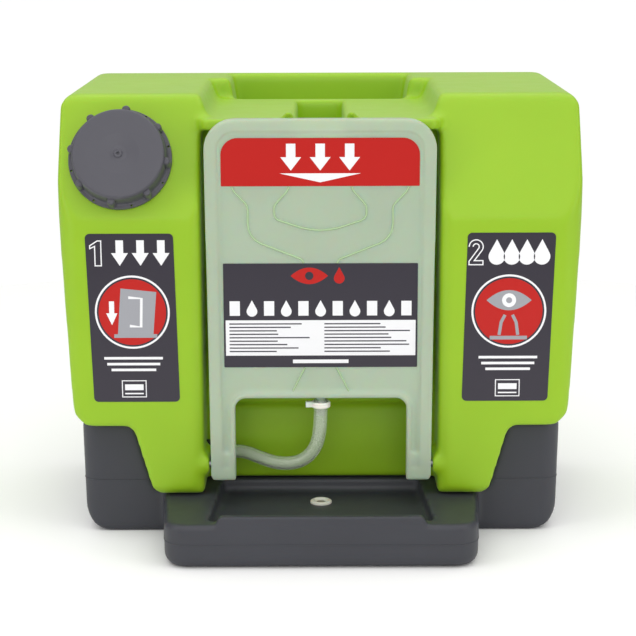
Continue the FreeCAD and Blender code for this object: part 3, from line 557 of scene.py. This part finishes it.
def grown_piece(name, tree, values, place, material):
    """The tree's result as a plain mesh object at the origin, with its place in its mesh."""
    seed = bpy.data.objects.new(name, bpy.data.meshes.new(name))
    bpy.context.scene.collection.objects.link(seed)
    modifier = seed.modifiers.new(tree.name, "NODES")
    modifier.node_group = tree
    for socket in tree.interface.items_tree:
        if socket.in_out == "INPUT" and socket.name in values:
            modifier[socket.identifier] = values[socket.name]
    data = evaluated_mesh(seed)
    bpy.data.objects.remove(seed)
    data.transform(place)
    piece = mesh_piece(name, data)
    if not piece.data.materials:
        piece.data.materials.append(material)
    return piece


thread_tree, given, result = geometry_tree("coarse_thread", {
    "Radius": "NodeSocketFloat", "Turns": "NodeSocketFloat", "Rise": "NodeSocketFloat",
    "Ridge": "NodeSocketFloat", "Plastic": "NodeSocketMaterial"})
helix = add_node(thread_tree, "GeometryNodeCurveSpiral", {"Resolution": 64},
                 {"Rotations": given["Turns"], "Start Radius": given["Radius"],
                  "End Radius": given["Radius"], "Height": given["Rise"]})
ridge = add_node(thread_tree, "GeometryNodeCurvePrimitiveCircle", {"Resolution": 8},
                 {"Radius": given["Ridge"]})
swept = add_node(thread_tree, "GeometryNodeCurveToMesh", {"Fill Caps": True},
                 {"Curve": helix.outputs["Curve"], "Profile Curve": ridge.outputs["Curve"]})
close_tree(thread_tree, swept.outputs["Mesh"], given["Plastic"], result)
neck_thread = grown_piece("neck_thread", thread_tree,
                          {"Radius": 0.0459, "Turns": 1.6, "Rise": 0.011, "Ridge": 0.0007, "Plastic": lime},
                          cap_place @ Matrix.Translation((0, 0, 0.004)), lime)
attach(neck_thread, "tank")

foam = new_material("foam_gasket_dark", "1c1c1d", 0.85)
gasket = turned("foam_gasket", [
    (4, 18.3, 0), (45.4, 18.3, 0.6), (45.4, 20.8, 0.6), (4, 20.8, 0),
], 96, cap_place)
gasket.data.materials.append(foam)
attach(gasket, "seal")
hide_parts("cap_seal")

ring_tree, given, result = geometry_tree("posts_round_a_ring", {
    "Post": "NodeSocketObject", "Count": "NodeSocketInt", "Radius": "NodeSocketFloat",
    "First Turn": "NodeSocketFloat", "Plastic": "NodeSocketMaterial"})
ring_points = add_node(ring_tree, "GeometryNodeMeshCircle", None,
                       {"Vertices": given["Count"], "Radius": given["Radius"]})
post = add_node(ring_tree, "GeometryNodeObjectInfo", None, {"Object": given["Post"]})
spin = add_node(ring_tree, "ShaderNodeCombineXYZ", None, {"Z": given["First Turn"]})
turned_ring = add_node(ring_tree, "GeometryNodeTransform", None,
                       {"Geometry": ring_points.outputs["Mesh"], "Rotation": spin.outputs["Vector"]})
copies = add_node(ring_tree, "GeometryNodeInstanceOnPoints", None,
                  {"Points": turned_ring.outputs["Geometry"], "Instance": post.outputs["Geometry"]})
close_tree(ring_tree, copies.outputs["Instances"], given["Plastic"], result)


def moulded_plastic(name, colour, roughness, grain_mm, depth_mm):
    """Injection-moulded plastic: one colour, an even spark-eroded grain and faint handling shine."""
    material = new_material(name, colour, roughness, IOR=1.49, Specular_IOR_Level=0.5)
    tree = material.node_tree
    shader = tree.nodes["Principled BSDF"]
    place = add_node(tree, "ShaderNodeTexCoord").outputs["Object"]
    grain = add_node(tree, "ShaderNodeTexNoise", {"Scale": 1000 / grain_mm, "Detail": 2.0},
                     {"Vector": place})
    rubbed = add_node(tree, "ShaderNodeTexNoise", {"Scale": 30.0, "Detail": 4.0}, {"Vector": place})
    spread = add_node(tree, "ShaderNodeMapRange", {"To Min": roughness - 0.07, "To Max": roughness + 0.07},
                      {"Value": rubbed.outputs["Fac"]})
    tree.links.new(spread.outputs["Result"], shader.inputs["Roughness"])
    bump = add_node(tree, "ShaderNodeBump", {"Strength": 0.2, "Distance": depth_mm / 1000},
                    {"Height": grain.outputs["Fac"]})
    tree.links.new(bump.outputs["Normal"], shader.inputs["Normal"])
    return material


cap_grey = moulded_plastic("polypropylene_dark_grey", "494850", 0.42, 0.7, 0.15)
lug_count, lug_turn = 8, math.radians(37)
post_ring, tie_ring = 0.0502, 0.0529
sharp_from = math.radians(40)
cap_shell = turned("cap_shell", [
    (0, 24.8, 0), (1.3, 24.8, 0.2), (1.5, 26.4, 0.3), (2.6, 27.0, 0.5), (4.0, 27.0, 0.5),
    (4.9, 25.6, 0.6), (9, 25.0, 3), (22, 26.6, 10), (34, 27.0, 6), (47.8, 27.0, 2.6), (49.4, 23, 3),
    (50.2, 8.2, 1.8), (52, 6.5, 1), (55.0, 6.3, 1.2), (55.0, 1.6, 0.8), (46.9, 1.6, 0.6),
    (46.9, 21.2, 1.0), (0, 21.2, 0),
], 128, Matrix.Identity(4))
tie_pin = turned("tie_pin", [(0, 9, 0), (1.25, 9, 0), (1.25, 0, 0), (0, 0, 0)], 12,
                 Matrix.Identity(4))
tie_pins = grown_piece("tie_pins", ring_tree, {
    "Post": tie_pin, "Count": lug_count, "Radius": tie_ring,
    "First Turn": lug_turn + math.pi / lug_count, "Plastic": cap_grey}, Matrix.Identity(4), cap_grey)
drill = cap_shell.modifiers.new("tie_holes", "BOOLEAN")
drill.object, drill.operation, drill.solver = tie_pins, "DIFFERENCE", "EXACT"
drilled = evaluated_mesh(cap_shell)
cap_shell.modifiers.clear()
cap_shell.data = drilled
for spent in (tie_pin, tie_pins):
    bpy.data.objects.remove(spent)
grip_post = turned("grip_post", [
    (0, 22.4, 0), (3.4, 22.4, 1.6), (4.5, 20, 1.2), (4.7, 5.4, 0.4), (0, 5.4, 0),
], 24, Matrix.Identity(4))
grip_posts = grown_piece("grip_posts", ring_tree, {
    "Post": grip_post, "Count": lug_count, "Radius": post_ring,
    "First Turn": lug_turn, "Plastic": cap_grey}, Matrix.Identity(4), cap_grey)
bpy.data.objects.remove(grip_post)
cap_shell.data.materials.clear()
grip_posts.data.materials.clear()
fill_cap = joined("whole_cap", cap_shell, grip_posts)
fill_cap.data.transform(cap_place)
fill_cap.data.materials.append(cap_grey)
fill_cap.data.set_sharp_from_angle(angle=sharp_from)
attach(fill_cap, "cap")
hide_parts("fill_cap")


# ---- pivot pins and outlet ----
# Two turned stainless pins carry the manifold. The outlet is a black glass-filled nylon bulkhead
# fitting, clamped through the left tower's wall with a nut inside and a rubber washer outside.

pin_steel = new_material("stainless_turned", "8c8e90", 0.42, Metallic=1.0)
black_nylon = moulded_plastic("nylon_black_glass_filled", "232324", 0.5, 0.6, 0.1)
for node, finish, slot_name in (
    ("pivot_pin_left", pin_steel, "pin_steel"), ("pivot_pin_right", pin_steel, "pin_steel"),
    ("outlet_fitting", black_nylon, "fitting_plastic"), ("outlet_nut", black_nylon, "fitting_plastic"),
    ("outlet_seal", black_rubber, "seal_rubber"),
):
    refinish(node, finish)


# ---- manifold ----
# The fold-down frame, blow moulded in thin natural polyethylene: milky, so the green behind tints it
# and the water passage on its back shows through in front as a fine ridge, coloured darker as painted
# shade.

head_x, head_z = 0.0635, 0.406
web_front, passage_back = -0.1185, -0.1015
nipple_bore, nipple_bore_top, head_socket, socket_depth = 0.0034, 0.18, 0.0204, 0.004


def in_passage(point):
    """True for faces of the nipple's bore and of the head sockets, which lead into the water passage."""
    from_nipple = math.hypot(point.x, point.y - nipple_y)
    from_head = math.hypot(abs(point.x) - head_x, point.z - head_z)
    in_bore = from_nipple < nipple_bore and nipple_end < point.z < nipple_bore_top
    in_depth = passage_back - socket_depth < point.y < passage_back - 0.0001
    return in_bore or (from_head < head_socket and in_depth)


natural = waxy_polyethylene("hdpe_natural_translucent", "dcead4", "cfe1c7", 0.3, 0.9,
                            Transmission_Weight=0.48, Subsurface_Weight=0.35, Subsurface_Scale=0.012)
manifold_skin = outer_skin("manifold", "manifold_skin", in_passage, 0.002, 4)
manifold_skin.data.materials.append(natural)
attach(manifold_skin, "manifold")
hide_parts("manifold")

ridge_tree, given, result = geometry_tree("pinched_ridge", {
    "Line": "NodeSocketObject", "Thickness": "NodeSocketFloat", "Plastic": "NodeSocketMaterial"})
traced_line = add_node(ridge_tree, "GeometryNodeObjectInfo", None, {"Object": given["Line"]})
as_curve = add_node(ridge_tree, "GeometryNodeMeshToCurve", None, {"Mesh": traced_line.outputs["Geometry"]})
section = add_node(ridge_tree, "GeometryNodeCurvePrimitiveCircle", {"Resolution": 10},
                   {"Radius": given["Thickness"]})
swept = add_node(ridge_tree, "GeometryNodeCurveToMesh", {"Fill Caps": True},
                 {"Curve": as_curve.outputs["Curve"], "Profile Curve": section.outputs["Curve"]})
close_tree(ridge_tree, swept.outputs["Mesh"], given["Plastic"], result)

passage_ridge, parting_ridge = 0.0012, 0.0005
upper_edge = [(94, 388.5, 0), (91, 383, 5), (77, 368, 10), (77, 333, 26), (20, 310.5, 10), (18, 306.5, 0)]
lower_edge = [(17, 191.5, 0), (30, 166, 6), (30, 160, 0)]
inner_edge = [(33, 388.5, 0), (35, 384, 4), (49, 368, 10), (49, 354, 10), (0, 338, 90),
              (-49, 354, 10), (-49, 368, 10), (-35, 384, 4), (-33, 388.5, 0)]
seen_edges = [inner_edge]
# The ridges' darker green is partly the tank's green seen through the thin pinch and partly painted shade
# for the shaded side of the pinch line.
pinch_tint_and_painted_shade = new_material("hdpe_natural_pinch_tint_painted_shade", "a3bd92", 0.3)
for edge in (upper_edge, lower_edge):
    seen_edges += [edge, [(-u, v, radius) for u, v, radius in edge]]
for index, corners in enumerate(seen_edges):
    line_data = bpy.data.meshes.new("ridge_line")
    line_points = round_corners(corners, 12)
    line_data.from_pydata([(p.x / 1000, web_front, p.y / 1000) for p in line_points],
                          [(k, k + 1) for k in range(len(line_points) - 1)], [])
    line_object = mesh_piece("ridge_line", line_data)
    pinch_ridge = grown_piece(f"passage_ridge_{index}", ridge_tree,
                              {"Line": line_object, "Thickness": passage_ridge, "Plastic": pinch_tint_and_painted_shade},
                              Matrix.Identity(4), pinch_tint_and_painted_shade)
    bpy.data.objects.remove(line_object)
    pinch_ridge.data.shade_smooth()
    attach(pinch_ridge, "manifold")


# ---- mould parting lines ----
# The base's blow mould leaves a fine raised line where its halves met: round the sides and back at
# mid height, and lower down round the tray.

def on_wings(point):
    """True on the outside of the base's wings and back."""
    return abs(point.x) > 0.25 or point.y > 0.165 or (point.y < -0.095 and abs(point.x) > 0.19)


def on_tray(point):
    """True on the outside of the tray."""
    return point.y < -0.105 and (abs(point.x) > 0.158 or point.y < -0.2)


for name, height, keep in (
    ("parting_line_base", 0.060, on_wings), ("parting_line_tray", 0.027, on_tray),
):
    cut = bmesh.new()
    cut.from_mesh(base_skin.data)
    whole = cut.verts[:] + cut.edges[:] + cut.faces[:]
    section_cut = bmesh.ops.bisect_plane(cut, geom=whole, plane_co=(0, 0, height),
                                         plane_no=(0, 0, 1))
    on_cut = [e for e in section_cut["geom_cut"] if isinstance(e, bmesh.types.BMEdge)
              and keep(e.verts[0].co) and keep(e.verts[1].co)]
    places, runs = {}, []
    for edge in on_cut:
        runs.append([places.setdefault(vert, len(places)) for vert in edge.verts])
    line_data = bpy.data.meshes.new("parting_path")
    line_data.from_pydata([vert.co.copy() for vert in places], runs, [])
    cut.free()
    line_object = mesh_piece("parting_path", line_data)
    parting = grown_piece(name, ridge_tree,
                          {"Line": line_object, "Thickness": parting_ridge, "Plastic": charcoal},
                          Matrix.Identity(4), charcoal)
    bpy.data.objects.remove(line_object)
    parting.data.shade_smooth()
    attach(parting, "base")


# ---- spray heads ----
# Each head is a moulded cup on a rubber washer, with a spigot into the passage and a thin perforated
# steel disc held in its mouth that softens the water.

head_plastic = moulded_plastic("abs_off_white", "d8d9d2", 0.38, 0.5, 0.08)
disc_steel = new_material("stainless_sheet", "c4c6c8", 0.24, Metallic=1.0)
for side_name, direction in (("left", -1), ("right", 1)):
    seat = Matrix.Translation((direction * head_x, passage_back, head_z))
    cup = turned("spray_cup_" + side_name, [
        (17.8, -4.4, 0.2), (19.8, -4.4, 0.5), (19.8, 1.5, 0.2), (24.4, 1.5, 0.5), (24.6, 3.6, 0.4),
        (23.9, 4.4, 0.6), (24.1, 11.4, 0.8), (25, 12.4, 0.6), (24.8, 14, 0.7), (22.6, 14, 0.5),
        (22, 12.6, 0.3), (22, 9, 0.1), (17.8, 9, 0.3),
    ], 72, seat @ Matrix.Rotation(-math.pi / 2, 4, "X"))
    cup.data.materials.append(head_plastic)
    cup.data.set_sharp_from_angle(angle=sharp_from)
    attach(cup, "manifold")
    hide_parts("spray_head_" + side_name)
    refinish("flow_disc_" + side_name, disc_steel)
    refinish("spray_seal_" + side_name, black_rubber)


# ---- labels ----
# Screen-printed vinyl labels with a satin laminate: two step labels on the towers, a red band at
# the top of the manifold and a large panel below it. The marks are plain symbols and grey bars.

vinyl_red = new_material("vinyl_printed_red", "b8150e", 0.3, Specular_IOR_Level=0.35)
vinyl_dark = new_material("vinyl_printed_dark", "302c36", 0.3, Specular_IOR_Level=0.4)
ink_white = new_material("ink_white", "ececee", 0.4)
ink_red = new_material("ink_red", "b8150e", 0.35, Specular_IOR_Level=0.35)
ink_grey = new_material("ink_grey", "9a9ba1", 0.4)
ink_dark = new_material("ink_dark", "3a3740", 0.4)
for node, finish, slot_name in (
    ("label_step_one", vinyl_dark, "label_dark"), ("label_step_two", vinyl_dark, "label_dark"),
    ("label_centre", vinyl_dark, "label_dark"), ("label_pull", vinyl_red, "label_red"),
):
    refinish(node, finish)

tower_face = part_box("label_step_one")[0][1]
band_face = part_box("label_pull")[0][1]
ink_layer, ink_half = 0.00005, 0.00002


def circle(u, v, radius, steps=64):
    """A circle's outline in millimetres."""
    turns = [2 * math.pi * k / steps for k in range(steps)]
    return [(u + radius * math.cos(t), v + radius * math.sin(t)) for t in turns]


def bar(u0, v0, u1, v1):
    """A rectangle's outline in millimetres."""
    return [(u0, v0), (u1, v0), (u1, v1), (u0, v1)]


def moved(outlines, u, v):
    """The same outlines, moved by u and v millimetres."""
    return [[(x + u, y + v) for x, y in outline] for outline in outlines]


def stroke(points, width):
    """A line of straight runs with this width, as an outline in millimetres."""
    left, right = [], []
    for index, point in enumerate(points):
        before = points[max(index - 1, 0)]
        after = points[min(index + 1, len(points) - 1)]
        along = (Vector(after) - Vector(before)).normalized()
        across = Vector((-along.y, along.x)) * width / 2
        left.append(tuple(Vector(point) + across))
        right.append(tuple(Vector(point) - across))
    return left + right[::-1]


def printed(name, outlines, face, layer, ink, body):
    """A film of ink filling these outlines, in front of a label's face; inner outlines are holes."""
    line = bpy.data.curves.new(name, "CURVE")
    line.dimensions, line.fill_mode, line.extrude = "2D", "BOTH", ink_half
    for outline in outlines:
        spline = line.splines.new("POLY")
        spline.points.add(len(outline) - 1)
        for point, (u, v) in zip(spline.points, outline):
            point.co = (u / 1000, v / 1000, 0.0, 1.0)
        spline.use_cyclic_u = True
    holder = bpy.data.objects.new(name, line)
    bpy.context.scene.collection.objects.link(holder)
    film = evaluated_mesh(holder)
    bpy.data.objects.remove(holder)
    in_front = Matrix.Translation((0, face - ink_layer * (layer + 0.5), 0))
    film.transform(in_front @ Matrix.Rotation(math.pi / 2, 4, "X"))
    piece = mesh_piece(name, film)
    piece.data.materials.clear()
    piece.data.materials.append(ink)
    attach(piece, body)
    return piece


def down_arrow(u, top, bottom, half):
    """A block arrow that points down, as an outline in millimetres."""
    neck = bottom + (top - bottom) * 0.5
    shaft = half * 0.45
    return [(u - shaft, top), (u - shaft, neck), (u - half, neck), (u, bottom), (u + half, neck),
            (u + shaft, neck), (u + shaft, top)]


def drop(u, bottom, height):
    """A falling drop, as an outline in millimetres."""
    radius = height * 0.32
    turns = [math.radians(a) for a in range(150, 391, 15)]
    round_part = [(u + radius * math.cos(t), bottom + radius + radius * math.sin(t)) for t in turns]
    return round_part + [(u, bottom + height)]


def eye(u, v, half, rise):
    """The outline of an open eye in millimetres."""
    upper = [(u + half * t / 12, v + rise * (1 - (t / 12) ** 2)) for t in range(-12, 13)]
    lower = [(u + half * t / 12, v - rise * (1 - (t / 12) ** 2)) for t in range(11, -12, -1)]
    return upper + lower


label_middle, ring_height = 201.0, 255
mark_bars = ((31.5, 204.5), (28.5, 198), (24, 191.6))


def step_label(name, numeral, direction, symbols, picture_grey, picture_white):
    """One step label: numeral and symbols, a ringed red disc with a picture, bars and a mark."""
    middle = direction * label_middle

    def on_label(part, outlines, layer, ink):
        """One film of ink on this label."""
        printed(name + part, outlines, tower_face, layer, ink, "tank")

    on_label("_numeral", moved(numeral, middle - 44, 305), 0, ink_white)
    on_label("_symbols", moved(symbols, middle, 0), 0, ink_white)
    on_label("_ring", [circle(middle, ring_height, 40), circle(middle, ring_height, 37.9)], 0,
             ink_white)
    on_label("_disc", [circle(middle, ring_height, 36)], 0, ink_red)
    on_label("_picture", moved(picture_grey, middle, ring_height), 1, ink_grey)
    on_label("_detail", moved(picture_white, middle, ring_height), 2, ink_white)
    bars = [bar(middle - half, z - 1.4, middle + half, z + 1.4) for half, z in mark_bars]
    on_label("_bars", bars, 0, ink_white)
    frame_mark = [bar(middle - 13.3, 161, middle + 13.3, 180),
                  bar(middle - 12.3, 162, middle + 12.3, 179),
                  bar(middle - 10, 169, middle + 10, 175.5),
                  bar(middle - 10, 164.5, middle + 10, 166)]
    on_label("_mark", frame_mark, 0, ink_white)


numeral_one = [[(5.2, 0), (13, 0), (13, 28), (8.4, 28), (0, 22.6), (0, 18.2), (5.2, 20.6)],
               [(6.4, 1.2), (11.8, 1.2), (11.8, 26.8), (8.8, 26.8), (1.2, 21.9), (1.2, 20.1), (6.4, 22.5)]]
numeral_two = []
for inset, foot in ((0.0, [(7.4, 5.6), (16, 5.6), (16, 0), (0, 0), (0, 4.4)]),
                    (1.2, [(5.0, 4.4), (14.8, 4.4), (14.8, 1.2), (1.2, 1.2), (1.2, 4.0)])):
    outer, inner = 8 - inset, 2.6 + inset
    down_turns = [math.radians(a) for a in range(180, -41, -10)]
    back_turns = [math.radians(a) for a in range(-30, 181, 15)]
    bend = [(8 + outer * math.cos(t), 20 + outer * math.sin(t)) for t in down_turns]
    hook = [(8 + inner * math.cos(t), 20 + inner * math.sin(t)) for t in back_turns]
    numeral_two.append(bend + foot + hook)
step_label("step_one", numeral_one, -1, [down_arrow(u, 333, 305.5, 9.0) for u in (-12, 10, 32)],
           [[(-16, -24), (22, -24), (26, 22), (-12, 26)], bar(-20, -28, 26, -24)],
           [stroke([(-4, 16), (10, 15), (9, -16), (-3, -15)], 3.0), down_arrow(-22, 12, -14, 6.0)])
step_label("step_two", numeral_two, 1, [drop(u, 305.5, 27.5) for u in (-14, 2, 18, 34)],
           [eye(0, 12, 24, 11), stroke([(-10, -26), (-8, -12), (-4, -4)], 3.4),
            stroke([(10, -26), (8, -12), (4, -4)], 3.4), bar(-20, -31, 20, -27)],
           [circle(0, 12, 7.5), circle(0, 12, 3.2)])

row = []
for place_in_row in range(11):
    u = -92 + place_in_row * 18.4
    row.append(drop(u, 248, 18) if place_in_row % 2 else bar(u - 5.5, 249, u + 5.5, 265))
for name, outlines, ink, slot_name in (
    ("pull_arrows", [down_arrow(u, 434, 405.5, 11.0) for u in (-31, 0, 31)], ink_white, "label_red"),
    ("pull_chevron", [[(-43, 402.6), (43, 402.6), (0, 393)]], ink_white, "label_red"),
    ("panel_eye", [eye(-12, 292.5, 20, 9), circle(-12, 292.5, 4.5)], ink_red, "label_red"),
    ("panel_drop", [drop(20, 284, 18)], ink_red, "label_red"),
    ("panel_row", row, ink_white, "label_dark"),
    ("panel_sheet", [bar(-102, 205, 102, 244)], ink_white, "label_dark"),
    ("panel_foot", [bar(-30, 196.5, 30, 200.5)], ink_white, "label_dark"),
):
    printed(name, outlines, band_face, 0, ink, "manifold")

lines_tree, given, result = geometry_tree("printed_lines", {
    "Rows": "NodeSocketInt", "Pitch": "NodeSocketFloat", "Longest": "NodeSocketFloat",
    "Height": "NodeSocketFloat", "Seed": "NodeSocketInt", "Ink": "NodeSocketMaterial"})
down = add_node(lines_tree, "ShaderNodeMath", {"operation": "MULTIPLY"})
down.inputs[1].default_value = -1.0
lines_tree.links.new(given["Pitch"], down.inputs[0])
step_down = add_node(lines_tree, "ShaderNodeCombineXYZ", None, {"Z": down.outputs["Value"]})
rows_of_points = add_node(lines_tree, "GeometryNodeMeshLine", None,
                          {"Count": given["Rows"], "Offset": step_down.outputs["Vector"]})
strip = add_node(lines_tree, "GeometryNodeMeshCube")
strip_size = add_node(lines_tree, "ShaderNodeCombineXYZ", {"Y": 0.00004},
                      {"X": given["Longest"], "Z": given["Height"]})
lines_tree.links.new(strip_size.outputs["Vector"], strip.inputs["Size"])
half_long = add_node(lines_tree, "ShaderNodeMath", {"operation": "MULTIPLY"})
half_long.inputs[1].default_value = 0.5
lines_tree.links.new(given["Longest"], half_long.inputs[0])
from_left = add_node(lines_tree, "ShaderNodeCombineXYZ", None, {"X": half_long.outputs["Value"]})
left_set = add_node(lines_tree, "GeometryNodeTransform", None,
                    {"Geometry": strip.outputs["Mesh"], "Translation": from_left.outputs["Vector"]})
share = add_node(lines_tree, "FunctionNodeRandomValue", {"data_type": "FLOAT"},
                 {"Seed": given["Seed"]})
shortest_share = 0.55
for socket in share.inputs:
    if socket.type == "VALUE" and socket.name in ("Min", "Max"):
        socket.default_value = shortest_share if socket.name == "Min" else 1.0
length = add_node(lines_tree, "ShaderNodeCombineXYZ", {"Y": 1.0, "Z": 1.0},
                  {"X": next(s for s in share.outputs if s.type == "VALUE")})
copies = add_node(lines_tree, "GeometryNodeInstanceOnPoints", None,
                  {"Points": rows_of_points.outputs["Mesh"], "Instance": left_set.outputs["Geometry"],
                   "Scale": length.outputs["Vector"]})
close_tree(lines_tree, copies.outputs["Instances"], given["Ink"], result)
for column, (left_u, longest) in enumerate(((-98, 0.088), (4, 0.092))):
    block = grown_piece(f"panel_lines_{column}", lines_tree, {
        "Rows": 9, "Pitch": 0.0038, "Longest": longest, "Height": 0.0014, "Seed": 7 + column,
        "Ink": ink_dark}, Matrix.Translation((left_u / 1000, band_face - 0.00008, 0.240)), ink_dark)
    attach(block, "manifold")
